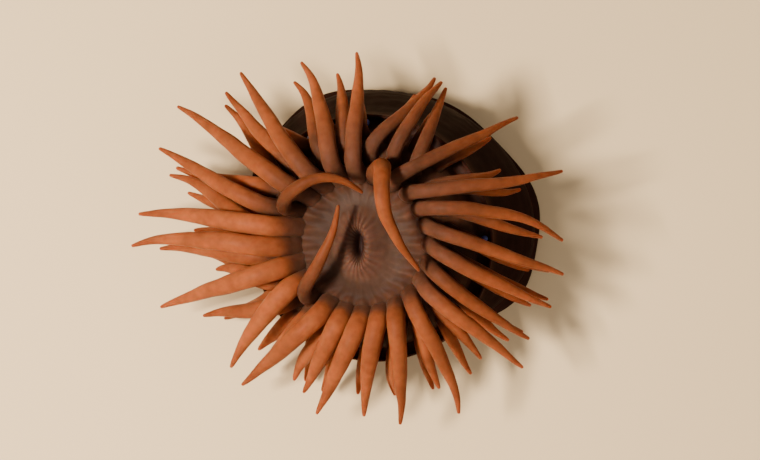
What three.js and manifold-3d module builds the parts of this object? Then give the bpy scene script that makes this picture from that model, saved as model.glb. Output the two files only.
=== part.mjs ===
// Beadlet anemone (Actinia equina), open and leaning, as a still life-size model.
// Millimetres, +Z up, origin at the middle of the pedal disc, on the surface it grips.
// The column leans towards -X -Y. The crown (oral disc, mouth, margin and tentacles) is
// one tilted group: its own XY plane is the oral disc, its own +Z points out of the mouth.
// Bearings are in degrees, anticlockwise from +X.
import * as THREE from "three";
import { mergeVertices } from "three/addons/utils/BufferGeometryUtils.js";
import Module from "manifold-3d";

const wasm = await Module();
wasm.setup();

// ---- driving dimensions ------------------------------------------------------------
const GAP = 0.2; // thin cut between two parts of the flesh
const LEAN = { bearing: 229, angle: 21 }; // where the mouth leans to, and how far
const DISC_CENTRE = new THREE.Vector3(-4.6, -6.4, 16);

const PEDAL = { radius: 17, height: 1.5, bevel: 0.5, wave: 0.3, lobes: 7, sides: 32 };
const OVAL = { long: 1.11, short: 0.89, bearing: 155 }; // how the round foot is drawn out
const COLUMN = { foot: 16.2, top: 15.6, swell: 0.45, rows: 5, sides: 36 };
const COLLAR = { inner: 13.9, outer: 15.6, groove: 15.15, floor: 0.3, crest: 0.7, sides: 24 };
const BEAD = { count: 24, radius: 0.54, ring: 14.42, lift: 0.5 };
const CROWN = { thickness: 5.9, bare: 7, fall: 0.062, power: 2.15, sides: 36 };
const MARGIN = { wedges: 4, inner: 12.2, outer: 13.7, corners: 4, overshoot: 4 };
const ORAL_DISC = { radius: 12, rings: 5, ringStep: 1.4 };
const MOUTH = { radius: 3.8, stretch: 1.35, depth: 3, height: 1.5, sides: 20 };
const LIPS = { gape: 1.7, round: 0.35, steps: 3, throat: 1, pit: 0.8 };

// ---- tentacles ---------------------------------------------------------------------
// Three rings of 24. Each tentacle stands square on the crown, arches out and droops.
// Of each ring: radius and turn place the roots; belly is the tentacle's widest radius;
// rise and ease are how long it keeps to its first and last direction, in shares of the
// straight line from root to tip; droop is how steeply the tip points down; height is
// that of the tips, and swing how much lower they are on the side that leans; bow is how
// far they bend sideways.
const PER_RING = 24;
const INNER = {
  ring: 8.8, turn: 0, belly: 1.26, sides: 6, spans: 7,
  rise: 0.38, ease: 0.36, droop: 26, height: 11.2, swing: 4.6, bow: 0.8,
};
const MIDDLE = {
  ring: 11, turn: 7.5, belly: 1.12, sides: 6, spans: 7,
  rise: 0.32, ease: 0.36, droop: 24, height: 10, swing: 5, bow: 0.8,
};
const OUTER = {
  ring: 13, turn: 0, belly: 0.97, sides: 5, spans: 5,
  rise: 0.32, ease: 0.35, droop: 20, height: 8.6, swing: 5.8, bow: 0.5,
};
const OUTER_SINK = 0.7; // how deep an outer tentacle's root is set in the margin
const BOW_BEAT = 1.9; // radians from one tentacle's sideways bend to the next one's
const PLUMP = { bearing: 200, share: 0.18 }; // where the tentacles are stoutest, and how much
const TIP_RADIUS = 0.27;
const NECK = 0.2; // how much thinner than its belly a tentacle is at the root
const NECK_POWER = 8; // a higher power keeps the neck shorter
const TAPER = 2.2; // a higher power keeps the tentacle stout for longer

// Where each tip points: [bearing, reach from the disc's middle, lift, bend], in order
// round the ring, with bend in millimetres anticlockwise where there is one; null is a
// tentacle that curls over the disc. The tips gather in loose tufts and sweep to the
// side that leans, with the bare column showing between them.
const INNER_TIPS = [
  [342.5, 24.6, 0.8], [352, 25.2, 1], [1, 24.8, 2.2, 5], [20, 26.4, 1.6], [39, 24.8, 1], null,
  [91, 24.2, 0], [107.5, 24.2, 0.4, -2.5], [124, 26.5, 0.5], [141.5, 29, 0], null,
  [170, 28, 0, -2], [178.4, 28.4, 0.6, -1.6], [195, 25.7, 0], [221.5, 21.4, 0.6, -2.5], null,
  [228, 22, 0.5, 1.6], [248, 18.8, 0.8], [255, 20.8, 0.9, 0.8], [271.5, 20.3, 0.8, 1],
  [283, 22, 0.8, 1.5], [301, 23.6, 0.6, 2], [323.5, 24.8, 0.8, 1], [331.5, 23.6, 0.9],
];
const MIDDLE_TIPS = [
  [353, 23.5, 0.3], [3, 22.5, 0.5], [28, 19.5, 1.6], [61.5, 22.2, 0.9], [63.5, 22.5, 1.9], [66, 22.8, 0.8],
  [97.5, 22, -0.4], [111.5, 22.5, -0.2, -2.5], [130, 26, -0.5], [132.5, 25, -1],
  [152.5, 28.3, 0.3], [157.5, 25.8, -0.2, -2],
  [178, 25, -0.5], [186, 18, 1.1], [201, 21, 0], [229, 19, -0.3], [242, 17.6, 0.1], [257, 18, 0.15],
  [272, 18, 0.2], [285.5, 19, 0.2], [300, 19.5, 0.2], [318, 20, 0], [333, 22.5, 0], [345, 24, -0.3],
];
const OUTER_TIPS = [
  [353, 21, 0], [11, 20.5, 0.4], [20, 21, 0.2], [40, 21, 0.3], [60, 20.5, 0.4], [70, 20, 0.6],
  [91, 20, 0.5], [104.8, 20, 0.3], [125, 21, 0], [133.5, 21, -0.4], [154.5, 25.5, -0.3], [160, 23, 0],
  [171, 21, 0], [179, 20, -0.2], [204, 18.7, 0], [222, 17.2, 0], [246, 16.8, -0.4], [254, 17.4, 0],
  [269, 17.2, -0.1], [284, 18, -0.2], [298.5, 19, -0.2], [312.5, 20.3, -0.3],
  [329, 21.4, -0.2], [342, 22.2, 0],
];

// Three inner tentacles curl over the disc instead. Their courses are points over the
// disc in the crown's own frame, [x, y, height], from the root in place `slot`; belly is
// the widest radius of each.
const CURLED = [
  {
    slot: 5,
    name: "a",
    belly: 1.2,
    points: [[4, 10, 3.4], [4.6, 8.6, 6.6], [5, 5, 7], [6.5, 1, 6], [8.4, -2.6, 4.4]],
  },
  {
    slot: 10,
    name: "b",
    belly: 1.05,
    points: [[-8.5, 5.1, 3.3], [-7.1, 7.1, 5.6], [-3.8, 8.9, 6], [-0.6, 8.6, 5.1], [1.6, 6.9, 3.8]],
  },
  {
    slot: 15,
    name: "c",
    belly: 1,
    points: [[-6.5, -5.3, 2.9], [-4.7, -2.6, 4.7], [-3, 0.3, 5.2], [-1.9, 2.9, 4.8], [-1.5, 5.4, 4]],
  },
];
const CURLED_KNEE = 1.2; // how far a curled tentacle rises square from the disc
const CURLED_CUT = 0.48; // where it is parted into two lengths
const CURLED_SPANS = 5; // rings of faces in each length

// ---- colours -----------------------------------------------------------------------
const FLESH = {
  foot: new THREE.MeshStandardMaterial({ color: 0x4a2520, roughness: 0.45, metalness: 0 }),
  column: new THREE.MeshStandardMaterial({ color: 0x2e1412, roughness: 0.3, metalness: 0 }),
  collar: new THREE.MeshStandardMaterial({ color: 0x35406e, roughness: 0.3, metalness: 0 }),
  disc: new THREE.MeshStandardMaterial({ color: 0x6e4a3a, roughness: 0.35, metalness: 0 }),
  mouth: new THREE.MeshStandardMaterial({ color: 0x7a4638, roughness: 0.35, metalness: 0 }),
  tentacle: new THREE.MeshStandardMaterial({ color: 0xa84a22, roughness: 0.35, metalness: 0 }),
};

// ---- shaping tools -----------------------------------------------------------------
const rad = THREE.MathUtils.degToRad;

// A closed solid of revolution about +Z: points are [radius, height], lowest first.
function lathe(points, sides) {
  const profile = points.map(([r, z]) => new THREE.Vector2(r, z));
  return new THREE.LatheGeometry(profile, sides).rotateX(Math.PI / 2);
}

// Moves every vertex of a geometry with a function from its old place to its new one.
function reshape(geometry, move) {
  const position = geometry.getAttribute("position");
  const at = new THREE.Vector3();
  for (let i = 0; i < position.count; i += 1) {
    at.fromBufferAttribute(position, i);
    const moved = move(at);
    position.setXYZ(i, moved.x, moved.y, moved.z);
  }
  return geometry;
}

// three.js geometry to a manifold-3d solid, for a cut or a join.
function toSolid(geometry) {
  const bare = geometry.clone();
  bare.deleteAttribute("normal");
  bare.deleteAttribute("uv");
  const merged = mergeVertices(bare, 1e-4);
  const vertProperties = new Float32Array(merged.getAttribute("position").array);
  const triVerts = new Uint32Array(merged.index.array);
  return new wasm.Manifold(new wasm.Mesh({ numProp: 3, vertProperties, triVerts }));
}

// A manifold-3d solid back to three.js geometry.
function toGeometry(solid) {
  const mesh = solid.getMesh();
  const geometry = new THREE.BufferGeometry();
  geometry.setAttribute("position", new THREE.BufferAttribute(mesh.vertProperties, 3));
  geometry.setIndex(new THREE.BufferAttribute(mesh.triVerts, 1));
  geometry.computeVertexNormals();
  return geometry;
}

function part(name, geometry, flesh) {
  const mesh = new THREE.Mesh(geometry, flesh.clone());
  mesh.name = name;
  return mesh;
}

// A level unit vector that points along a bearing.
function alongBearing(bearing) {
  return new THREE.Vector3(Math.cos(rad(bearing)), Math.sin(rad(bearing)), 0);
}

// ---- the crown's frame -------------------------------------------------------------
const mouthAxis = alongBearing(LEAN.bearing).multiplyScalar(Math.sin(rad(LEAN.angle)));
mouthAxis.z = Math.cos(rad(LEAN.angle));

const crown = new THREE.Group();
crown.position.copy(DISC_CENTRE);
crown.quaternion.setFromUnitVectors(new THREE.Vector3(0, 0, 1), mouthAxis);
crown.updateMatrixWorld(true);

// Height of the crown's face over the disc's plane, nearly flat where it is bare and
// falling away ever more steeply to the margin.
function domeHeight(radius) {
  return -CROWN.fall * Math.max(radius - CROWN.bare, 0) ** CROWN.power;
}

function domeNormal(radius, bearing) {
  const slope = CROWN.fall * CROWN.power * Math.max(radius - CROWN.bare, 0) ** (CROWN.power - 1);
  return alongBearing(bearing).multiplyScalar(slope).setZ(1).normalize();
}

function domePoint(radius, bearing) {
  return alongBearing(bearing).multiplyScalar(radius).setZ(domeHeight(radius));
}

// ---- foot and column ---------------------------------------------------------------
// A place on a round foot, carried over to the oval one.
function onOval(x, y) {
  const middle = new THREE.Vector2(0, 0);
  const place = new THREE.Vector2(x, y).rotateAround(middle, -rad(OVAL.bearing));
  place.set(place.x * OVAL.long, place.y * OVAL.short);
  return place.rotateAround(middle, rad(OVAL.bearing));
}

function pedalDisc() {
  const { radius, height, bevel, wave, lobes, sides } = PEDAL;
  const profile = [
    [0, 0],
    [radius - bevel, 0],
    [radius, bevel],
    [radius - bevel / 2, height - bevel],
    [radius - 2 * bevel, height],
    [0, height],
  ];
  const geometry = reshape(lathe(profile, sides), (at) => {
    const reach = Math.hypot(at.x, at.y) / radius;
    const stretch = 1 + (wave / radius) * reach * Math.sin(lobes * Math.atan2(at.y, at.x));
    const place = onOval(at.x * stretch, at.y * stretch);
    return new THREE.Vector3(place.x, place.y, at.z);
  });
  return part("pedal_disc", geometry, FLESH.foot);
}

// Every line down the wall leaves the foot upright and meets the crown square to it.
function column() {
  const { foot, top, swell, rows, sides } = COLUMN;
  const profile = [[0, 0]];
  for (let row = 0; row <= rows; row += 1) {
    profile.push([1, row / rows]);
  }
  profile.push([0, 1]);
  const geometry = reshape(lathe(profile, sides), (at) => {
    const share = at.z;
    const place = onOval(at.x * foot, at.y * foot);
    const low = new THREE.Vector3(place.x, place.y, PEDAL.height + GAP);
    const high = crown.localToWorld(new THREE.Vector3(at.x * top, at.y * top, -CROWN.thickness - GAP));
    const bend = low.distanceTo(high) / 3;
    const wall = new THREE.CubicBezierCurve3(
      low,
      low.clone().setZ(low.z + bend),
      high.clone().addScaledVector(mouthAxis, -bend),
      high,
    );
    const bulge = new THREE.Vector3(at.x, at.y, 0).multiplyScalar(swell * Math.sin(Math.PI * share));
    return wall.getPoint(share).add(bulge);
  });
  return part("column", geometry, FLESH.column);
}

// The parapet round the top of the column, with the blue stinging beads in its groove.
function collar() {
  const { inner, outer, groove, floor, crest, sides } = COLLAR;
  const ridge = [
    [inner, 0],
    [outer, 0],
    [outer, crest],
    [groove, crest],
    [groove, floor],
    [inner, floor],
    [inner, 0],
  ];
  let solid = toSolid(lathe(ridge, sides));
  for (let i = 0; i < BEAD.count; i += 1) {
    const bearing = rad((i + 0.5) * (360 / BEAD.count));
    const bead = new THREE.IcosahedronGeometry(BEAD.radius, 0);
    bead.translate(BEAD.ring * Math.cos(bearing), BEAD.ring * Math.sin(bearing), BEAD.lift);
    solid = solid.add(toSolid(bead));
  }
  const mesh = part("collar", toGeometry(solid), FLESH.collar);
  mesh.position.z = -CROWN.thickness;
  return mesh;
}

// ---- disc and mouth ----------------------------------------------------------------
// The mouth is a long low cone with round lips, and a shallow pit for the throat.
function mouth() {
  const { radius, stretch, depth, height, sides } = MOUTH;
  const { gape, round, steps, throat, pit } = LIPS;
  const profile = [[0, -depth], [radius, -depth], [radius, 0]];
  for (let step = 0; step <= steps; step += 1) {
    const turn = (Math.PI * step) / steps;
    profile.push([gape + round * (1 + Math.cos(turn)), height - round * (1 - Math.sin(turn))]);
  }
  profile.push([throat, 0], [0, -pit]);
  return part("mouth", lathe(profile, sides).scale(1, stretch, 1), FLESH.mouth);
}

// The socket that the mouth stands in, with a thin cut all round it.
function mouthSocket() {
  const { radius, stretch, depth, height, sides } = MOUTH;
  const profile = [
    [0, -depth - GAP],
    [radius + GAP, -depth - GAP],
    [radius + GAP, height],
    [0, height],
  ];
  return toSolid(lathe(profile, sides).scale(1, stretch, 1));
}

function oralDisc() {
  const { radius, rings, ringStep } = ORAL_DISC;
  const profile = [[0, -CROWN.thickness], [radius, -CROWN.thickness]];
  for (let i = 0; i < rings; i += 1) {
    const ring = radius - i * ringStep;
    profile.push([ring, domeHeight(ring)]);
  }
  profile.push([0, domeHeight(0)]);
  const disc = toSolid(lathe(profile, CROWN.sides)).subtract(mouthSocket());
  return part("oral_disc", toGeometry(disc), FLESH.disc);
}

// ---- tentacles ---------------------------------------------------------------------
// One stretch of a longer curve, measured in shares of its length.
class Stretch extends THREE.Curve {
  constructor(whole, from, to) {
    super();
    this.whole = whole;
    this.from = from;
    this.to = to;
  }

  getPoint(share, target = new THREE.Vector3()) {
    return this.whole.getPointAt(this.from + (this.to - this.from) * share, target);
  }
}

// A tentacle is narrower at its root, stout to the middle, then tapers to a blunt tip.
function girth(belly, share) {
  const neck = 1 - NECK * (1 - share) ** NECK_POWER;
  return TIP_RADIUS + (belly - TIP_RADIUS) * (1 - share ** TAPER) * neck;
}

// A closed tube along a stretch of a tentacle, from one share of its length to another.
function fleshTube(curve, { belly, sides, spans }, from = 0, to = 1) {
  const profile = [[0, 0]];
  for (let ring = 0; ring <= spans; ring += 1) {
    const share = ring / spans;
    profile.push([girth(belly, from + (to - from) * share), share]);
  }
  profile.push([0, 1]);
  const frames = curve.computeFrenetFrames(spans, false);
  return reshape(lathe(profile, sides), (at) => {
    const ring = Math.round(at.z * spans);
    const place = curve.getPointAt(ring / spans);
    place.addScaledVector(frames.normals[ring], at.x);
    return place.addScaledVector(frames.binormals[ring], at.y);
  });
}

// The course of a tentacle in place `slot` of its ring, out to its tip, in the crown's
// own frame. The tip's bearing, reach and height are taken level, from the disc's centre.
function archedCourse(cycle, slot, [tipBearing, reach, lift, bend = 0], sink) {
  const rootBearing = cycle.turn + (slot * 360) / PER_RING;
  const normal = domeNormal(cycle.ring, rootBearing);
  const root = domePoint(cycle.ring, rootBearing).addScaledVector(normal, GAP - sink);
  const outward = alongBearing(tipBearing);
  const tip = DISC_CENTRE.clone().addScaledVector(outward, reach);
  tip.z = cycle.height + lift - cycle.swing * Math.cos(rad(tipBearing - LEAN.bearing));
  const drooping = outward.clone().multiplyScalar(Math.cos(rad(cycle.droop)));
  drooping.z = -Math.sin(rad(cycle.droop));
  const span = tip.distanceTo(crown.localToWorld(root.clone()));
  const approach = tip.clone().addScaledVector(drooping, -span * cycle.ease);
  const sideways = bend + cycle.bow * Math.sin(BOW_BEAT * slot);
  approach.addScaledVector(alongBearing(tipBearing + 90), sideways);
  approach.z += lift;
  return new THREE.CubicBezierCurve3(
    root,
    root.clone().addScaledVector(normal, span * cycle.rise + lift),
    crown.worldToLocal(approach),
    crown.worldToLocal(tip),
  );
}

function curledCourse({ slot, points }) {
  const bearing = INNER.turn + (slot * 360) / PER_RING;
  const normal = domeNormal(INNER.ring, bearing);
  const root = domePoint(INNER.ring, bearing).addScaledVector(normal, GAP);
  const knee = root.clone().addScaledVector(normal, CURLED_KNEE);
  const route = [root, knee, ...points.map((point) => new THREE.Vector3(...point))];
  return new THREE.CatmullRomCurve3(route, false, "centripetal");
}

// A curled tentacle in two lengths, with a thin cut between them.
function curledTentacle(curl) {
  const whole = curledCourse(curl);
  const halfGap = GAP / whole.getLength() / 2;
  const lengths = [["base", 0, CURLED_CUT - halfGap], ["end", CURLED_CUT + halfGap, 1]];
  return lengths.map(([end, from, to]) => {
    const stretch = new Stretch(whole, from, to);
    const shape = { ...INNER, belly: curl.belly, spans: CURLED_SPANS };
    const tube = fleshTube(stretch, shape, from, to);
    return part(`tentacle_curled_${curl.name}_${end}`, tube, FLESH.tentacle);
  });
}

// How stout a tentacle is, by where it points.
function plumpness(tipBearing) {
  return 1 + PLUMP.share * Math.cos(rad(tipBearing - PLUMP.bearing));
}

// The closed tube of an arched tentacle in place `slot` of its ring.
function archedTentacle(cycle, slot, tip, sink) {
  const belly = cycle.belly * plumpness(tip[0]);
  return fleshTube(archedCourse(cycle, slot, tip, sink), { ...cycle, belly });
}

function twoDigits(number) {
  return String(number).padStart(2, "0");
}

function ringOfTentacles(label, cycle, tips) {
  const made = [];
  tips.forEach((tip, slot) => {
    if (tip === null) return;
    const tube = archedTentacle(cycle, slot, tip, 0);
    made.push(part(`tentacle_${label}_${twoDigits(slot + 1)}`, tube, FLESH.tentacle));
  });
  return made;
}

// The bare part of one wedge of the margin: a slice of a low ring.
function marginSlice(index) {
  const { wedges, inner, outer, corners, overshoot } = MARGIN;
  const ring = lathe([
    [inner, -CROWN.thickness],
    [outer, -CROWN.thickness],
    [outer, domeHeight(outer)],
    [inner, domeHeight(inner)],
    [inner, -CROWN.thickness],
  ], CROWN.sides);
  const arc = 360 / wedges;
  const halfCut = THREE.MathUtils.radToDeg(GAP / inner) / 2;
  const first = index * arc - 180 / PER_RING + halfCut;
  const outline = new THREE.Shape().moveTo(0, 0);
  for (let corner = 0; corner <= corners; corner += 1) {
    const along = alongBearing(first + ((arc - 2 * halfCut) * corner) / corners);
    outline.lineTo(along.x * (outer + overshoot), along.y * (outer + overshoot));
  }
  const depth = 2 * CROWN.thickness;
  const slice = new THREE.ExtrudeGeometry(outline, { depth, bevelEnabled: false });
  slice.translate(0, 0, -CROWN.thickness - depth / 4);
  return toSolid(ring).intersect(toSolid(slice));
}

// A wedge of the crown's margin, with the outer tentacles that grow from it.
function marginWedge(index) {
  const perWedge = PER_RING / MARGIN.wedges;
  let solid = marginSlice(index);
  for (let place = 0; place < perWedge; place += 1) {
    const slot = index * perWedge + place;
    const tube = archedTentacle(OUTER, slot, OUTER_TIPS[slot], OUTER_SINK);
    solid = solid.add(toSolid(tube));
  }
  return part(`margin_${index + 1}`, toGeometry(solid), FLESH.tentacle);
}

// ---- the whole animal --------------------------------------------------------------
crown.add(collar());
crown.add(oralDisc());
crown.add(mouth());
crown.add(...ringOfTentacles("inner", INNER, INNER_TIPS));
crown.add(...ringOfTentacles("middle", MIDDLE, MIDDLE_TIPS));
CURLED.forEach((curl) => crown.add(...curledTentacle(curl)));
for (let wedge = 0; wedge < MARGIN.wedges; wedge += 1) {
  crown.add(marginWedge(wedge));
}

const anemone = new THREE.Group();
anemone.name = "beadlet_anemone";
anemone.add(pedalDisc(), column(), crown);

export default anemone;
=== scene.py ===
"""A beadlet anemone, open and leaning on its foot, as a still life-size model.

Everything is in the CAD model's frame, in metres: +Z is up, the foot stands on Z = 0, and
bearings run anticlockwise from +X. Lengths named here are in millimetres and are multiplied
by MM where they become geometry. Tones are linear red, green and blue.
"""
import bisect
import math
import random

import bmesh
import bpy
from mathutils import Matrix, Vector, noise


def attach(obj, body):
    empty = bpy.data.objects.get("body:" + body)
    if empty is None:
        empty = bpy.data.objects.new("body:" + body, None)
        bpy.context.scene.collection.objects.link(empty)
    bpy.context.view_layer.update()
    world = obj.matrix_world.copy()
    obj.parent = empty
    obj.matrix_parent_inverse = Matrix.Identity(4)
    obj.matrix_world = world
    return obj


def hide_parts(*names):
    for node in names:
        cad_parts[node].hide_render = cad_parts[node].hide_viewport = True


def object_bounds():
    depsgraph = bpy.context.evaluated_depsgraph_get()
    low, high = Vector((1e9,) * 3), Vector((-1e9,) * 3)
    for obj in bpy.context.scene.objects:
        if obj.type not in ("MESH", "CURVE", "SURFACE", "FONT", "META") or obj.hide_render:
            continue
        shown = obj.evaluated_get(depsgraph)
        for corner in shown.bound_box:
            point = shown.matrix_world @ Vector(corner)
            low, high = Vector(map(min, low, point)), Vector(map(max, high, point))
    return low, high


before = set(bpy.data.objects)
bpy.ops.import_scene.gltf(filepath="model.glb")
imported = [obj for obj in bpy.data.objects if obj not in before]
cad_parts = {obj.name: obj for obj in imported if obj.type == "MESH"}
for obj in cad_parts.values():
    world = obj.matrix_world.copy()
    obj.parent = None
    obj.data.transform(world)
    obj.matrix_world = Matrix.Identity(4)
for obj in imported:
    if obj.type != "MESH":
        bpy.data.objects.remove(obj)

cad_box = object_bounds()

# ---- Foot, column, parapet, disc and mouth ------------------------------------------------
# The body is one muscular sack of wet, slippery flesh. It grips the rock with a flat foot,
# its dark wall leans over, and a parapet rings its top. Inside the parapet the crown swells
# up to a bare, faintly lined disc with folded lips round the mouth.
MM = 0.001
AROUND = 192
TENTACLE_ROWS = 24

LEAN_BEARING = math.radians(229)
LEAN_ANGLE = math.radians(21)
DISC_CENTRE = Vector((-4.6, -6.4, 16))
MOUTH_AXIS = Vector((
    math.sin(LEAN_ANGLE) * math.cos(LEAN_BEARING),
    math.sin(LEAN_ANGLE) * math.sin(LEAN_BEARING),
    math.cos(LEAN_ANGLE),
))
CROWN_TURN = Vector((0, 0, 1)).rotation_difference(MOUTH_AXIS)

BARE_RADIUS = 7
DOME_FALL = 0.062
DOME_POWER = 2.15
DOME_SKIN_SINK = 0.03

# Pairs of radii: a form or a tone comes in over the first pair and fades over the second.
LIPS_BAND = ((0.9, 1.6), (2.6, 3.9))
DISC_BAND = ((3.2, 5.2), (10.5, 12.5))
RIDGE_BAND = ((4.4, 8.2), (8.2, 10.2))
LIP_FOLDS = 26
LIP_FOLD_HEIGHT = 0.06
PLEAT_HEIGHT = 0.02
FINE_LINE_HEIGHT = 0.015
RIDGE_HEIGHT = 0.4
DISC_SWELL = 0.12
DISC_SWELL_BEAT = 0.45
DISC_SWELL_SEED = 4
MOUTH_STRETCH = 1.35
STRETCH_FADES = (3.8, 7.5)
MOUTH_PINCH = 0.38
PINCH_FADES = (0.4, 3.4)

WALL_TOP = (15.5, -5.75)
WALL_FOOT = (16.15, 1.75)
WALL_RINGS = 58
WALL_SWELL = 0.45
WALL_SINK = 0.05
WALL_RIDGE = 0.03
WALL_CREASE = 0.06
WALL_WRINKLE = 0.02
CREASE_BEATS = (3, 0.9)
WRINKLE_BEATS = (14, 1.6)
RELIEF_EDGE_POWER = 0.4
OVAL_LONG, OVAL_SHORT = 1.11, 0.89
OVAL_TURN = Matrix.Rotation(math.radians(155), 3, "Z")
FOOT_LOBES = 7
FOOT_WAVE = 0.28

FLESH_TONES = {
    # Painted shade: the throat's dark tone stands for the shade in the mouth's pit, and is laid into the
    # creases between the lips' folds.
    "throat": (0.030, 0.012, 0.009),
    "lips": (0.088, 0.037, 0.022),
    "disc": (0.058, 0.028, 0.017),
    "disc_line": (0.096, 0.050, 0.032),
    # Painted shade: the disc darker and redder towards the side the crown leans to.
    "low_disc_shade": (0.036, 0.013, 0.007),
    "root": (0.066, 0.024, 0.012),
    # Painted shade: the groove tone darkens the creases between the roots; it is also the tone of the beads'
    # groove and the parapet's rim.
    "groove": (0.038, 0.013, 0.008),
    "wall": (0.015, 0.0052, 0.0040),
    "foot": (0.030, 0.011, 0.007),
}
# Radii over which each tone of the crown takes over from the one inside it.
TONE_COMES_IN = {
    "lips": (0.8, 1.9),
    "disc": (2.4, 4.2),
    "low_disc_shade": (3.0, 4.6),
    "between_roots_shade": (4.6, 7.4),
    "root": (5.2, 7.6),
    "bead_groove": (12.8, 13.8),
}
DISC_LINE_SHARE = 0.35
LIP_FOLD_SHADE_SHARE = 0.1
LOW_DISC_SHADE_SHARE = 0.75
BETWEEN_ROOTS_SHADE_SHARE = 0.5
WALL_DARK_TOP = 0.12
WALL_PALE_FOOT = 0.8


def smooth_step(low, high, value):
    share = min(max((value - low) / (high - low), 0), 1)
    return share * share * (3 - 2 * share)


def band(slopes, radius):
    rise, fall = slopes
    return smooth_step(*rise, radius) * (1 - smooth_step(*fall, radius))


def blend_tones(first, second, share):
    return tuple(a + (b - a) * share for a, b in zip(first, second))


def spline_point(points, place):
    """A Catmull-Rom curve through points: place 2.5 lies midway from the third to the fourth."""
    here = min(int(place), len(points) - 2)
    share = place - here
    before = points[max(here - 1, 0)]
    start, end = points[here], points[here + 1]
    after = points[min(here + 2, len(points) - 1)]
    return tuple(
        0.5 * (2 * b + (c - a) * share + (2 * a - 5 * b + 4 * c - d) * share ** 2
               + (3 * b - a - 3 * c + d) * share ** 3)
        for a, b, c, d in zip(before, start, end, after)
    )


def from_crown(x, y, height):
    """A point over the disc, in the model's frame."""
    return DISC_CENTRE + CROWN_TURN @ Vector((x, y, height))


def dome_height(radius):
    return -DOME_FALL * max(radius - BARE_RADIUS, 0) ** DOME_POWER


# Radius and height over the disc, first from the throat over the lips, then out over the
# crown under the tentacles, and last through the beads' groove to the parapet.
CROWN_LINE = (
    [(0, -0.72), (0.75, -0.6), (1.15, 0.2), (1.55, 1.0)]
    + [(2.0, 1.4), (2.45, 1.18), (3.0, 0.6), (3.75, 0.12)]
    + [(radius, dome_height(radius) - DOME_SKIN_SINK) for radius in (5, 7, 8.5, 10, 11.4, 12.6)]
    + [(13.35, -3.75), (13.58, -4.6), (13.8, -5.35), (14.4, -5.57)]
    + [(14.95, -5.5), (15.2, -5.3), (15.45, -5.4)]
)
CROWN_STEPS = 5
CROWN_RINGS = CROWN_STEPS * (len(CROWN_LINE) - 1)


def lip_fold(bearing):
    """One on a fold of the lips and minus one between two, unevenly spaced."""
    return math.cos(LIP_FOLDS * bearing + 0.7 * math.sin(3 * bearing))


def pleat(bearing):
    """One in line with a row of tentacles, minus one between two rows."""
    return math.cos(TENTACLE_ROWS * bearing)


def fine_line(bearing):
    """One on each of the disc's pale lines, which run in pairs to every row of tentacles."""
    return math.cos(2 * TENTACLE_ROWS * bearing + 0.6 * math.sin(5 * bearing))


def crown_point(radius, height, bearing):
    """A point of the crown's face, with its folds."""
    on_disc = band(DISC_BAND, radius)
    lines = PLEAT_HEIGHT * pleat(bearing) + FINE_LINE_HEIGHT * fine_line(bearing)
    height += LIP_FOLD_HEIGHT * band(LIPS_BAND, radius) * lip_fold(bearing) + on_disc * lines
    height += RIDGE_HEIGHT * band(RIDGE_BAND, radius) * (0.5 + 0.5 * pleat(bearing))
    spot = Vector((radius * math.cos(bearing), radius * math.sin(bearing), DISC_SWELL_SEED))
    height += DISC_SWELL * on_disc * noise.noise(spot * DISC_SWELL_BEAT)
    stretch = 1 + (MOUTH_STRETCH - 1) * (1 - smooth_step(*STRETCH_FADES, radius))
    pinch = MOUTH_PINCH + (1 - MOUTH_PINCH) * smooth_step(*PINCH_FADES, radius)
    return from_crown(radius * pinch * math.cos(bearing), radius * stretch * math.sin(bearing), height)


def crown_tone(radius, bearing):
    """The crown's tone, with painted shade: darker in the throat, in its folds, between the roots and on its
    low side.
    """
    come_in = {name: smooth_step(*radii, radius) for name, radii in TONE_COMES_IN.items()}
    line = band(DISC_BAND, radius) * max(fine_line(bearing), 0) ** 3
    # Painted shade in the creases between the lips' folds.
    fold = band(LIPS_BAND, radius) * max(-lip_fold(bearing), 0)
    # Painted shade on the disc's low side, towards the lean.
    low_side_shade = (0.5 + 0.5 * math.cos(bearing - LEAN_BEARING)) * come_in["low_disc_shade"]
    # Painted shade in the creases between the roots.
    between = come_in["between_roots_shade"] * (0.5 - 0.5 * pleat(bearing))
    layers = (
        ("lips", come_in["lips"]),
        ("disc", come_in["disc"]),
        ("disc_line", DISC_LINE_SHARE * line),
        ("throat", LIP_FOLD_SHADE_SHARE * fold),
        ("low_disc_shade", LOW_DISC_SHADE_SHARE * low_side_shade),
        ("root", come_in["root"]),
        ("groove", BETWEEN_ROOTS_SHADE_SHARE * between),
        ("groove", come_in["bead_groove"]),
    )
    tone = FLESH_TONES["throat"]
    for name, share in layers:
        tone = blend_tones(tone, FLESH_TONES[name], share)
    return tone


def crown_ring(place, bearing):
    radius, height = spline_point(CROWN_LINE, place)
    return crown_point(radius, height, bearing), crown_tone(radius, bearing)


def on_foot(radius, bearing, height):
    """A point of the oval foot, from its place on a round one."""
    place = OVAL_TURN.transposed() @ Vector((radius * math.cos(bearing), radius * math.sin(bearing), 0))
    place = OVAL_TURN @ Vector((place.x * OVAL_LONG, place.y * OVAL_SHORT, 0))
    return place + Vector((0, 0, height))


def wall_folds(beats, bearing, height):
    """Soft random folds, with a beat round the wall and another one up it."""
    beat_round, beat_up = beats
    across, along = math.cos(bearing), math.sin(bearing)
    return noise.noise(Vector((beat_round * across, beat_round * along, height * beat_up)))


def wall_relief(bearing, height):
    """How far the wall's ridges, creases and wrinkles stand out."""
    ridge = math.cos(2 * TENTACLE_ROWS * bearing + math.sin(4 * bearing))
    crease = wall_folds(CREASE_BEATS, bearing, height)
    wrinkle = wall_folds(WRINKLE_BEATS, bearing, height)
    return WALL_RIDGE * ridge + WALL_CREASE * crease + WALL_WRINKLE * wrinkle


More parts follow.
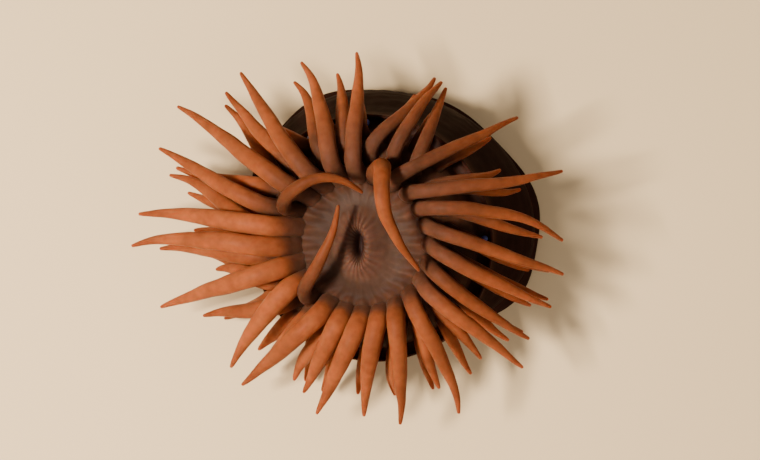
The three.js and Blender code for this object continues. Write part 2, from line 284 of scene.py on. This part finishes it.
def wall_ring(share, bearing):
    """A point of the wall, at a share of the way down from the parapet to the foot."""
    across, along = math.cos(bearing), math.sin(bearing)
    top = from_crown(across * WALL_TOP[0], along * WALL_TOP[0], WALL_TOP[1])
    foot = on_foot(WALL_FOOT[0], bearing, WALL_FOOT[1])
    bend = (top - foot).length / 3
    guides = [top, top - MOUTH_AXIS * bend, foot + Vector((0, 0, bend)), foot]
    left = 1 - share
    weights = [left ** 3, 3 * share * left ** 2, 3 * share ** 2 * left, share ** 3]
    point = sum((guide * weight for guide, weight in zip(guides, weights)), Vector())
    bulge = WALL_SWELL * math.sin(math.pi * share) - WALL_SINK
    edge = math.sin(math.pi * share) ** RELIEF_EDGE_POWER if 0 < share < 1 else 0
    point += Vector((across, along, 0)) * (bulge + edge * wall_relief(bearing, point.z))
    tone = blend_tones(FLESH_TONES["groove"], FLESH_TONES["wall"], smooth_step(0, WALL_DARK_TOP, share))
    return point, blend_tones(tone, FLESH_TONES["foot"], smooth_step(WALL_PALE_FOOT, 1, share))


# Radius and height of the foot's line, from the wall over the spread rim to the sole.
FOOT_LINE = (
    [(16.2, 1.5), (16.35, 1.2), (16.65, 0.9), (16.86, 0.6), (16.86, 0.32)]
    + [(16.65, 0.1), (16.3, 0), (15.6, 0)]
)
FOOT_STEPS = 2
FOOT_RIM = max(radius for radius, _ in FOOT_LINE)
FOOT_WAVE_COMES_IN = (WALL_FOOT[0], 16.65)
SOLE_RADII = (14, 10, 5, 1)


def foot_ring(radius, height, bearing):
    wave = (radius / FOOT_RIM) * FOOT_WAVE * math.sin(FOOT_LOBES * bearing)
    reach = radius + wave * smooth_step(*FOOT_WAVE_COMES_IN, radius)
    return on_foot(reach, bearing, max(height, 0)), FLESH_TONES["foot"]


def body_rings(bearing):
    """All points down one line of the body, from the throat to the middle of the sole."""
    line = [crown_ring(step / CROWN_STEPS, bearing) for step in range(1, CROWN_RINGS + 1)]
    line += [wall_ring(step / WALL_RINGS, bearing) for step in range(WALL_RINGS + 1)]
    for step in range(FOOT_STEPS * (len(FOOT_LINE) - 1) + 1):
        line.append(foot_ring(*spline_point(FOOT_LINE, step / FOOT_STEPS), bearing))
    return line + [foot_ring(radius, 0, bearing) for radius in SOLE_RADII]


def body_mesh():
    """The body's skin, with its wall's faces in the second material."""
    lines = [body_rings(2 * math.pi * step / AROUND) for step in range(AROUND)]
    rings = len(lines[0])
    corners = [corner for line in lines for corner in line]
    corners.append((from_crown(0, 0, CROWN_LINE[0][1]), FLESH_TONES["throat"]))
    corners.append((Vector(), FLESH_TONES["foot"]))
    throat, sole = len(corners) - 2, len(corners) - 1
    faces = []
    on_wall = []
    for step in range(AROUND):
        here, beside = step * rings, (step + 1) % AROUND * rings
        faces.append((throat, here, beside))
        faces += [(here + k, here + k + 1, beside + k + 1, beside + k) for k in range(rings - 1)]
        faces.append((here + rings - 1, sole, beside + rings - 1))
        on_wall += [k > CROWN_RINGS for k in range(rings + 1)]
    mesh = bpy.data.meshes.new("anemone_skin")
    mesh.from_pydata([point * MM for point, _ in corners], [], faces)
    mesh.polygons.foreach_set("material_index", [int(dark) for dark in on_wall])
    tones = mesh.attributes.new("tone", "FLOAT_COLOR", "POINT")
    for value, (_, tone) in zip(tones.data, corners):
        value.color = (*tone, 1)
    return mesh


def add_node(tree, kind, values=None, **settings):
    """A node with its settings; values go to its sockets by name, as links or as numbers."""
    node = tree.nodes.new(kind)
    for key, value in settings.items():
        setattr(node, key, value)
    for label, value in (values or {}).items():
        socket = node.inputs[label]
        if isinstance(value, bpy.types.NodeSocket):
            tree.links.new(value, socket)
        else:
            socket.default_value = value
    return node


def noise_field(tree, place, scale, detail):
    return add_node(tree, "ShaderNodeTexNoise", {"Vector": place, "Scale": scale, "Detail": detail})


def noise_range(tree, field, low, high):
    """A noise field stretched to run from low to high."""
    return add_node(tree, "ShaderNodeMapRange", {
        "Value": field.outputs["Fac"], "From Min": 0.3, "From Max": 0.7, "To Min": low, "To Max": high})


def flesh(name, sheen, translucent):
    """Flesh in the tones painted on the skin; light sinks into it where it is translucent."""
    material = bpy.data.materials.new(name)
    material.use_nodes = True
    tree = material.node_tree
    shader = tree.nodes["Principled BSDF"]
    place = tree.nodes.new("ShaderNodeTexCoord").outputs["Object"]
    tone = add_node(tree, "ShaderNodeAttribute", attribute_name="tone").outputs["Color"]
    cloud = noise_range(tree, noise_field(tree, place, scale=260.0, detail=3.0), low=0.8, high=1.22)
    grain = noise_range(tree, noise_field(tree, place, scale=1100.0, detail=5.0), low=0.86, high=1.14)
    strength = add_node(tree, "ShaderNodeMath", {0: cloud.outputs[0], 1: grain.outputs[0]},
                        operation="MULTIPLY")
    varied = add_node(tree, "ShaderNodeVectorMath", {0: tone, "Scale": strength.outputs[0]},
                      operation="SCALE")
    tree.links.new(varied.outputs[0], shader.inputs["Base Color"])
    pores = noise_field(tree, place, scale=3200.0, detail=4.0)
    folds = noise_field(tree, place, scale=900.0, detail=2.0)
    relief = add_node(tree, "ShaderNodeMath", {0: pores.outputs["Fac"], 1: 0.35, 2: folds.outputs["Fac"]},
                      operation="MULTIPLY_ADD")
    bump = add_node(tree, "ShaderNodeBump",
                    {"Height": relief.outputs[0], "Strength": 0.22, "Distance": 0.2 * MM})
    tree.links.new(bump.outputs["Normal"], shader.inputs["Normal"])
    shader.inputs["Roughness"].default_value = 0.45
    shader.inputs["Specular IOR Level"].default_value = sheen
    if translucent:
        shader.inputs["Subsurface Weight"].default_value = 0.75
        shader.inputs["Subsurface Radius"].default_value = (1.0, 0.35, 0.16)
        shader.inputs["Subsurface Scale"].default_value = 1.4 * MM
    return material


SOFT_FLESH = flesh("soft_flesh", sheen=0.03, translucent=True)
WALL_FLESH = flesh("tough_wall", sheen=0.005, translucent=False)

skin = bpy.data.objects.new("anemone_skin", body_mesh())
bpy.context.collection.objects.link(skin)
skin.data.materials.append(SOFT_FLESH)
skin.data.materials.append(WALL_FLESH)

# ---- Tentacles ----------------------------------------------------------------------------
# Hollow, soft, muscular fingers, stout to the middle and drawn out to a blunt tip. They grow
# out of the crown in three close rings, arch over its edge and droop; three curl back over
# the disc. Their courses and girths come from the solids that they stand for.
SKIN_SHARE = 0.94
MERGE_WITHIN = 0.002
TIP_SPOKE = 0.4
EVEN_SPOKES = 1.05
TOP_CLEARANCE = 0.05
HIGHEST = cad_box[1][2] / MM - TOP_CLEARANCE

TENTACLE_SIDES = 16
TENTACLE_RINGS = 36
COURSE_STEPS = 8 * TENTACLE_RINGS
TIP_RINGS = 5
TIP_ROUND = 0.2
TIP_END = 0.01
TIP_THINNING = 0.12
THINNING_COMES_IN = (0.5, 1)
GIRTH_SPREAD = 0.06
SPREAD_COMES_IN = (0, 0.3)
WANDER = 0.14
WANDER_BEAT = 0.22
WANDER_COMES_IN = (0, 0.4)
# How far apart in the noise two tentacles, and two axes of one tentacle, are read.
TENTACLES_APART, AXES_APART = 50, 17
TENTACLE_SEED = 4
ROOT_DEPTH = {"tentacle": 0.9, "margin": 0.8}
ROOT_RINGS = 3
ROOT_FLARE = 0.34
ROOT_FLARE_REACH = 1.1
OUTER_ROOTS = 13.0
OUTER_SINK = 0.5

TENTACLE_TONES = {
    "root": (0.070, 0.026, 0.014),
    "shaft": (0.212, 0.054, 0.016),
    "tip": (0.190, 0.048, 0.015),
}
# The share of its length at which a tentacle loses its dark root tone, on the low and high side; the longer
# reach on the high side is painted shade.
ROOT_TONE_AND_SHADE_ENDS = {"tentacle": (0.11, 0.95), "margin": (0.1, 0.6)}
ROOT_TONE_STARTS = 0.03
HIGH_SIDE_SHADE_POWER = 1.5
TIP_TONE_STARTS = 0.7
PALEST, SHADE_SPREAD = 0.84, 0.32
# Painted shade: the curled tentacles' tones are darkened by this factor.
CURLED_SHADE = 0.72


def merged_copy(node):
    copy = bmesh.new()
    copy.from_mesh(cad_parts[node].data)
    bmesh.ops.remove_doubles(copy, verts=copy.verts, dist=MERGE_WITHIN * MM)
    copy.verts.index_update()
    return copy


def end_points(solid):
    """The middle of each flat end of a faceted tube, with the length of its spokes."""
    found = []
    for corner in solid.verts:
        spokes = [edge.calc_length() / MM for edge in corner.link_edges]
        if max(spokes) < EVEN_SPOKES * min(spokes):
            found.append((max(spokes), corner))
    return found


def rings_from(end):
    """Centre and girth of each ring of a faceted tube, walking away from one of its ends."""
    ring = {edge.other_vert(end) for edge in end.link_edges}
    sides = len(ring)
    seen = {end}
    rings = []
    while len(ring) == sides:
        corners = [corner.co for corner in sorted(ring, key=lambda corner: corner.index)]
        centre = sum(corners, Vector()) / sides
        rings.append((centre / MM, sum((corner - centre).length for corner in corners) / sides / MM))
        seen |= ring
        ring = {edge.other_vert(corner) for corner in ring for edge in corner.link_edges} - seen
    return rings


def outer_root(centre):
    """Where the outermost tentacle that passes through a point grows out of the crown."""
    place = CROWN_TURN.inverted() @ (centre - DISC_CENTRE)
    step = 2 * math.pi / TENTACLE_ROWS
    bearing = step * round(math.atan2(place.y, place.x) / step)
    height = dome_height(OUTER_ROOTS) - OUTER_SINK
    return from_crown(OUTER_ROOTS * math.cos(bearing), OUTER_ROOTS * math.sin(bearing), height)


def tentacle_courses():
    """The (centre, girth) rings of every tentacle, from its root out to its tip, by node."""
    courses = []
    for node in sorted(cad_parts):
        if node.endswith("_base") or not node.startswith(tuple(ROOT_DEPTH)):
            continue
        solid = merged_copy(node)
        tips = [corner for spoke, corner in end_points(solid) if spoke < TIP_SPOKE]
        for tip in sorted(tips, key=lambda corner: tuple(corner.co)):
            rings = rings_from(tip)
            if node.endswith("_end"):
                cut_face = rings[-1][0]
                base = merged_copy(node.replace("_end", "_base"))
                ends = [corner for _, corner in end_points(base)]
                cut = min(ends, key=lambda corner: (corner.co / MM - cut_face).length)
                rings += rings_from(cut)[1:]
            if node.startswith("margin"):
                rings.append((outer_root(rings[-1][0]), rings[-1][1]))
            courses.append((node, rings[::-1]))
    return courses


def fine_course(rings):
    """Close (x, y, z, girth) points down a tentacle, and the distance travelled at each."""
    knots = [(*centre, girth * SKIN_SHARE) for centre, girth in rings]
    spans = len(knots) - 1
    points = [spline_point(knots, spans * step / COURSE_STEPS) for step in range(COURSE_STEPS + 1)]
    travelled = [0]
    for before, after in zip(points, points[1:]):
        travelled.append(travelled[-1] + (Vector(after[:3]) - Vector(before[:3])).length)
    return points, travelled


def course_point(points, travelled, distance):
    """The (x, y, z, girth) at a distance down a course, or its first for a distance before it."""
    here = bisect.bisect_left(travelled, distance, 1, COURSE_STEPS) - 1
    part = (distance - travelled[here]) / (travelled[here + 1] - travelled[here])
    return [a + (b - a) * max(part, 0) for a, b in zip(points[here], points[here + 1])]


def station_distances(length, depth):
    """Distances down a tentacle: under the crown's skin, down the shaft and round the tip."""
    distances = [-depth * (1 - step / ROOT_RINGS) for step in range(ROOT_RINGS)]
    distances += [(length - TIP_ROUND) * step / TENTACLE_RINGS for step in range(TENTACLE_RINGS + 1)]
    for step in range(1, TIP_RINGS + 1):
        distances.append(length - TIP_ROUND * (1 - math.sin(math.pi / 2 * step / TIP_RINGS)))
    return distances


def wander(distance, shade):
    """A small sideways and downward drift off a tentacle's smooth course."""
    places = [TENTACLES_APART * shade + AXES_APART * axis for axis in range(3)]
    x, y, z = (noise.noise(Vector((place, distance * WANDER_BEAT, 0))) for place in places)
    return Vector((x, y, -abs(z))) * WANDER


def root_tone_and_shade_end(rings, kind):
    """The share of a tentacle's length at which its root tone ends, further on the high side as painted
    shade.
    """
    outward = rings[-1][0] - rings[0][0]
    high_side_shade = 0.5 - 0.5 * math.cos(math.atan2(outward.y, outward.x) - LEAN_BEARING)
    low_end, high_side_shaded_end = ROOT_TONE_AND_SHADE_ENDS[kind]
    return low_end + (high_side_shaded_end - low_end) * high_side_shade ** HIGH_SIDE_SHADE_POWER


def tentacle_tone(share, root_and_shade_end, shade, strength):
    past_root = smooth_step(ROOT_TONE_STARTS, root_and_shade_end, share)
    tone = blend_tones(TENTACLE_TONES["root"], TENTACLE_TONES["shaft"], past_root)
    tone = blend_tones(tone, TENTACLE_TONES["tip"], smooth_step(TIP_TONE_STARTS, 1, share))
    return tuple(channel * (PALEST + SHADE_SPREAD * shade) * strength for channel in tone)


def tentacle_stations(rings, kind, shade, strength):
    """Stations down a tentacle, from under the crown's skin: centre, girth and tone."""
    points, travelled = fine_course(rings)
    length = travelled[-1]
    heading = (Vector(points[1][:3]) - Vector(points[0][:3])).normalized()
    root_and_shade_end = root_tone_and_shade_end(rings, kind)
    stations = []
    for distance in station_distances(length, ROOT_DEPTH[kind]):
        x, y, z, girth = course_point(points, travelled, distance)
        share = min(max(distance / length, 0), 1)
        centre = Vector((x, y, z)) + heading * min(distance, 0)
        centre += wander(distance, shade) * smooth_step(*WANDER_COMES_IN, share)
        girth *= 1 + ROOT_FLARE * math.exp(-max(distance, 0) / ROOT_FLARE_REACH)
        girth *= 1 - TIP_THINNING * smooth_step(*THINNING_COMES_IN, share)
        girth *= 1 - GIRTH_SPREAD * (1 - shade) * smooth_step(*SPREAD_COMES_IN, share)
        centre.z = min(centre.z, HIGHEST - girth)
        left = length - distance
        if left < TIP_ROUND:
            girth = min(girth, math.sqrt(TIP_ROUND ** 2 - (TIP_ROUND - left) ** 2) + TIP_END)
        stations.append((centre * MM, girth * MM, tentacle_tone(share, root_and_shade_end, shade, strength)))
    return stations


def tentacle_strands():
    """One chain of edges for each tentacle, with its girth and tone at every station."""
    draw = random.Random(TENTACLE_SEED)
    stations, edges = [], []
    for node, rings in tentacle_courses():
        first = len(stations)
        kind = node.split("_")[0]
        # Painted shade on the curled tentacles.
        strength = CURLED_SHADE if "curled" in node else 1
        stations += tentacle_stations(rings, kind, draw.random(), strength)
        edges += [(k, k + 1) for k in range(first, len(stations) - 1)]
    mesh = bpy.data.meshes.new("tentacles")
    mesh.from_pydata([centre for centre, _, _ in stations], edges, [])
    girths = mesh.attributes.new("girth", "FLOAT", "POINT")
    tones = mesh.attributes.new("tone", "FLOAT_COLOR", "POINT")
    for k, (_, girth, tone) in enumerate(stations):
        girths.data[k].value = girth
        tones.data[k].color = (*tone, 1)
    return mesh


def new_tree(name, sizes):
    """A Geometry Nodes tree with its named inputs: socket type and value for each."""
    tree = bpy.data.node_groups.new(name, "GeometryNodeTree")
    tree.interface.new_socket("Geometry", in_out="INPUT", socket_type="NodeSocketGeometry")
    for label, (kind, _) in sizes.items():
        tree.interface.new_socket(label, in_out="INPUT", socket_type=f"NodeSocket{kind}")
    tree.interface.new_socket("Geometry", in_out="OUTPUT", socket_type="NodeSocketGeometry")
    return tree


def grown(owner, tree, sizes):
    """Runs a tree on an object with these input values, and keeps the result as its mesh."""
    modifier = owner.modifiers.new(tree.name, "NODES")
    modifier.node_group = tree
    for item in tree.interface.items_tree:
        if item.in_out == "INPUT" and item.name in sizes:
            modifier[item.identifier] = sizes[item.name][1]
    depsgraph = bpy.context.evaluated_depsgraph_get()
    mesh = bpy.data.meshes.new_from_object(
        owner.evaluated_get(depsgraph), preserve_all_data_layers=True, depsgraph=depsgraph)
    owner.modifiers.clear()
    owner.data = mesh
    return owner


def sweep_tree(sizes):
    """Sweeps a round section down every strand, as thick as its girth, and ripples the skin."""
    tree = new_tree("tentacle_sweep", sizes)
    given = tree.nodes.new("NodeGroupInput").outputs
    girth = add_node(tree, "GeometryNodeInputNamedAttribute", {"Name": "girth"}, data_type="FLOAT")
    strands = add_node(tree, "GeometryNodeMeshToCurve", {"Mesh": given["Geometry"]})
    section = add_node(tree, "GeometryNodeCurvePrimitiveCircle",
                       {"Resolution": given["Sides"], "Radius": 1.0})
    tubes = add_node(tree, "GeometryNodeCurveToMesh", {
        "Curve": strands.outputs["Curve"], "Profile Curve": section.outputs["Curve"],
        "Scale": girth.outputs["Attribute"], "Fill Caps": True})
    ripples = add_node(tree, "ShaderNodeTexNoise", {"Scale": given["Ripples per Metre"], "Detail": 2.0})
    centred = add_node(tree, "ShaderNodeMath", {0: ripples.outputs[0], 1: 0.5}, operation="SUBTRACT")
    swell = add_node(tree, "ShaderNodeMath", {0: centred.outputs[0], 1: girth.outputs["Attribute"]},
                     operation="MULTIPLY")
    depth = add_node(tree, "ShaderNodeMath", {0: swell.outputs[0], 1: given["Ripple Depth"]},
                     operation="MULTIPLY")
    normal = tree.nodes.new("GeometryNodeInputNormal")
    offset = add_node(tree, "ShaderNodeVectorMath", {0: normal.outputs[0], "Scale": depth.outputs[0]},
                      operation="SCALE")
    rippled = add_node(tree, "GeometryNodeSetPosition",
                       {"Geometry": tubes.outputs["Mesh"], "Offset": offset.outputs[0]})
    joined = add_node(tree, "GeometryNodeRealizeInstances", {"Geometry": rippled.outputs["Geometry"]})
    dressed = add_node(tree, "GeometryNodeSetMaterial",
                       {"Geometry": joined.outputs["Geometry"], "Material": given["Flesh"]})
    add_node(tree, "NodeGroupOutput", {"Geometry": dressed.outputs["Geometry"]})
    return tree


SWEEP = {
    "Sides": ("Int", TENTACLE_SIDES),
    "Ripples per Metre": ("Float", 420.0),
    "Ripple Depth": ("Float", 0.18),
    "Flesh": ("Material", SOFT_FLESH),
}

tentacles = bpy.data.objects.new("tentacles", tentacle_strands())
bpy.context.collection.objects.link(tentacles)
grown(tentacles, sweep_tree(SWEEP), SWEEP)

with bpy.context.temp_override(active_object=skin, object=skin, selected_editable_objects=[skin, tentacles]):
    bpy.ops.object.join()
for face in skin.data.polygons:
    face.use_smooth = True
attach(skin, "root")
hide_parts(*(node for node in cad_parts))

# ---- Beads --------------------------------------------------------------------------------
# Twenty-four round, turgid stinging warts, bright violet-blue, that sit side by side in the
# groove between the parapet and the outermost tentacles. They are the animal's own flesh.
BEAD_RING = 14.42
BEAD_HEIGHT = -5.4
BEAD_RADIUS = 0.47
SMALLEST_BEAD = (0.82, 0.82, 0.78)
LARGEST_BEAD = (1.04, 1.04, 0.96)
BEAD_HUES = {
    0.35: (0.055, 0.075, 0.290, 1),
    0.65: (0.150, 0.220, 0.600, 1),
}


def bead_tree(sizes):
    """Stands beads of slightly different sizes on a ring, turned and moved onto the crown."""
    tree = new_tree("bead_ring", sizes)
    given = tree.nodes.new("NodeGroupInput").outputs
    ring = add_node(tree, "GeometryNodeCurvePrimitiveCircle",
                    {"Resolution": given["Count"], "Radius": given["Ring Radius"]})
    places = add_node(tree, "GeometryNodeCurveToPoints", {"Curve": ring.outputs["Curve"]}, mode="EVALUATED")
    bead = add_node(tree, "GeometryNodeMeshIcoSphere", {"Radius": given["Bead Radius"], "Subdivisions": 4})
    plump = add_node(tree, "FunctionNodeRandomValue", {"Seed": given["Seed"]}, data_type="FLOAT_VECTOR")
    plump.inputs[0].default_value = SMALLEST_BEAD
    plump.inputs[1].default_value = LARGEST_BEAD
    beads = add_node(tree, "GeometryNodeInstanceOnPoints", {
        "Points": places.outputs["Points"], "Instance": bead.outputs["Mesh"],
        "Rotation": places.outputs["Rotation"], "Scale": plump.outputs[0]})
    leant = add_node(tree, "GeometryNodeTransform", {
        "Geometry": beads.outputs["Instances"], "Translation": given["Centre"], "Rotation": given["Turn"]})
    joined = add_node(tree, "GeometryNodeRealizeInstances", {"Geometry": leant.outputs["Geometry"]})
    smooth = add_node(tree, "GeometryNodeSetShadeSmooth", {"Geometry": joined.outputs["Geometry"]})
    dressed = add_node(tree, "GeometryNodeSetMaterial",
                       {"Geometry": smooth.outputs["Geometry"], "Material": given["Bead Skin"]})
    add_node(tree, "NodeGroupOutput", {"Geometry": dressed.outputs["Geometry"]})
    return tree


def bead_skin():
    """Wet, tight blue skin, a little darker in patches."""
    material = bpy.data.materials.new("blue_bead")
    material.use_nodes = True
    tree = material.node_tree
    shader = tree.nodes["Principled BSDF"]
    place = tree.nodes.new("ShaderNodeTexCoord").outputs["Object"]
    cloud = noise_field(tree, place, scale=1500.0, detail=3.0)
    hues = add_node(tree, "ShaderNodeValToRGB", {"Fac": cloud.outputs["Fac"]})
    for element, (position, hue) in zip(hues.color_ramp.elements, BEAD_HUES.items()):
        element.position = position
        element.color = hue
    tree.links.new(hues.outputs["Color"], shader.inputs["Base Color"])
    shader.inputs["Roughness"].default_value = 0.3
    shader.inputs["Subsurface Weight"].default_value = 0.2
    shader.inputs["Subsurface Scale"].default_value = 0.4 * MM
    shader.inputs["Coat Weight"].default_value = 0.6
    shader.inputs["Coat Roughness"].default_value = 0.06
    return material


BEAD_ROW = {
    "Count": ("Int", TENTACLE_ROWS),
    "Ring Radius": ("Float", BEAD_RING * MM),
    "Bead Radius": ("Float", BEAD_RADIUS * MM),
    "Centre": ("Vector", from_crown(0, 0, BEAD_HEIGHT) * MM),
    "Turn": ("Rotation", CROWN_TURN.to_euler()),
    "Seed": ("Int", 7),
    "Bead Skin": ("Material", bead_skin()),
}
beads = bpy.data.objects.new("beads", bpy.data.meshes.new("beads"))
bpy.context.collection.objects.link(beads)
grown(beads, bead_tree(BEAD_ROW), BEAD_ROW)
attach(beads, "root")

# ---- Floor, light and camera --------------------------------------------------------------
# A plain, pale, matt floor just under the sole, four soft lamps and a dim, warm room. The
# camera looks almost straight down, from a little to the front, through a long lens.
FLOOR_REACH = 1500
FLOOR_DROP = 0.02
FLOOR_TONE = (0.80, 0.56, 0.31, 1)
FLOOR_ROUGHNESS = 0.85
CAMERA_PLACE = Vector((-2.145, -69.957, 481.124)) * MM
CAMERA_TARGET = Vector((-2.145, -3.153, 5.796)) * MM
CAMERA_LENS = 181.9
NEAREST_SEEN = 10
ROOM_TONE = (1.0, 0.96, 0.90, 1)
ROOM_STRENGTH = 0.17

floor_mesh = bpy.data.meshes.new("floor")
signs = ((-1, -1), (1, -1), (1, 1), (-1, 1))
floor_corners = [Vector((x * FLOOR_REACH, y * FLOOR_REACH, -FLOOR_DROP)) * MM for x, y in signs]
floor_mesh.from_pydata(floor_corners, [], [(0, 1, 2, 3)])
floor_paint = bpy.data.materials.new("pale_floor")
floor_paint.use_nodes = True
floor_shader = floor_paint.node_tree.nodes["Principled BSDF"]
floor_shader.inputs["Base Color"].default_value = FLOOR_TONE
floor_shader.inputs["Roughness"].default_value = FLOOR_ROUGHNESS
floor_mesh.materials.append(floor_paint)
floor = bpy.data.objects.new("floor", floor_mesh)
bpy.context.collection.objects.link(floor)


def aim_from(thing, place):
    """Stands a lamp or the camera at a place, turned towards the model."""
    thing.location = place
    thing.rotation_euler = (CAMERA_TARGET - place).to_track_quat("-Z", "Y").to_euler()


def soft_light(name, place, size, watts, colour):
    lamp = bpy.data.lights.new(name, "AREA")
    lamp.size = size * MM
    lamp.energy = watts
    lamp.color = colour
    stand = bpy.data.objects.new(name, lamp)
    bpy.context.collection.objects.link(stand)
    aim_from(stand, Vector(place) * MM)


soft_light("key_light", (-150, -45, 250), size=50, watts=2.0, colour=(1.0, 0.94, 0.84))
soft_light("front_light", (-250, -450, 300), size=500, watts=1.2, colour=(1.0, 0.97, 0.92))
soft_light("side_light", (300, -280, 360), size=500, watts=0.8, colour=(1.0, 0.97, 0.92))
soft_light("back_light", (-50, 500, 400), size=400, watts=0.3, colour=(1.0, 0.98, 0.95))

world = bpy.data.worlds.new("studio")
world.use_nodes = True
world.node_tree.nodes["Background"].inputs["Color"].default_value = ROOM_TONE
world.node_tree.nodes["Background"].inputs["Strength"].default_value = ROOM_STRENGTH
bpy.context.scene.world = world

camera_data = bpy.data.cameras.new("camera")
camera_data.lens = CAMERA_LENS
camera_data.clip_start = NEAREST_SEEN * MM
camera = bpy.data.objects.new("camera", camera_data)
bpy.context.collection.objects.link(camera)
aim_from(camera, CAMERA_PLACE)
bpy.context.scene.camera = camera
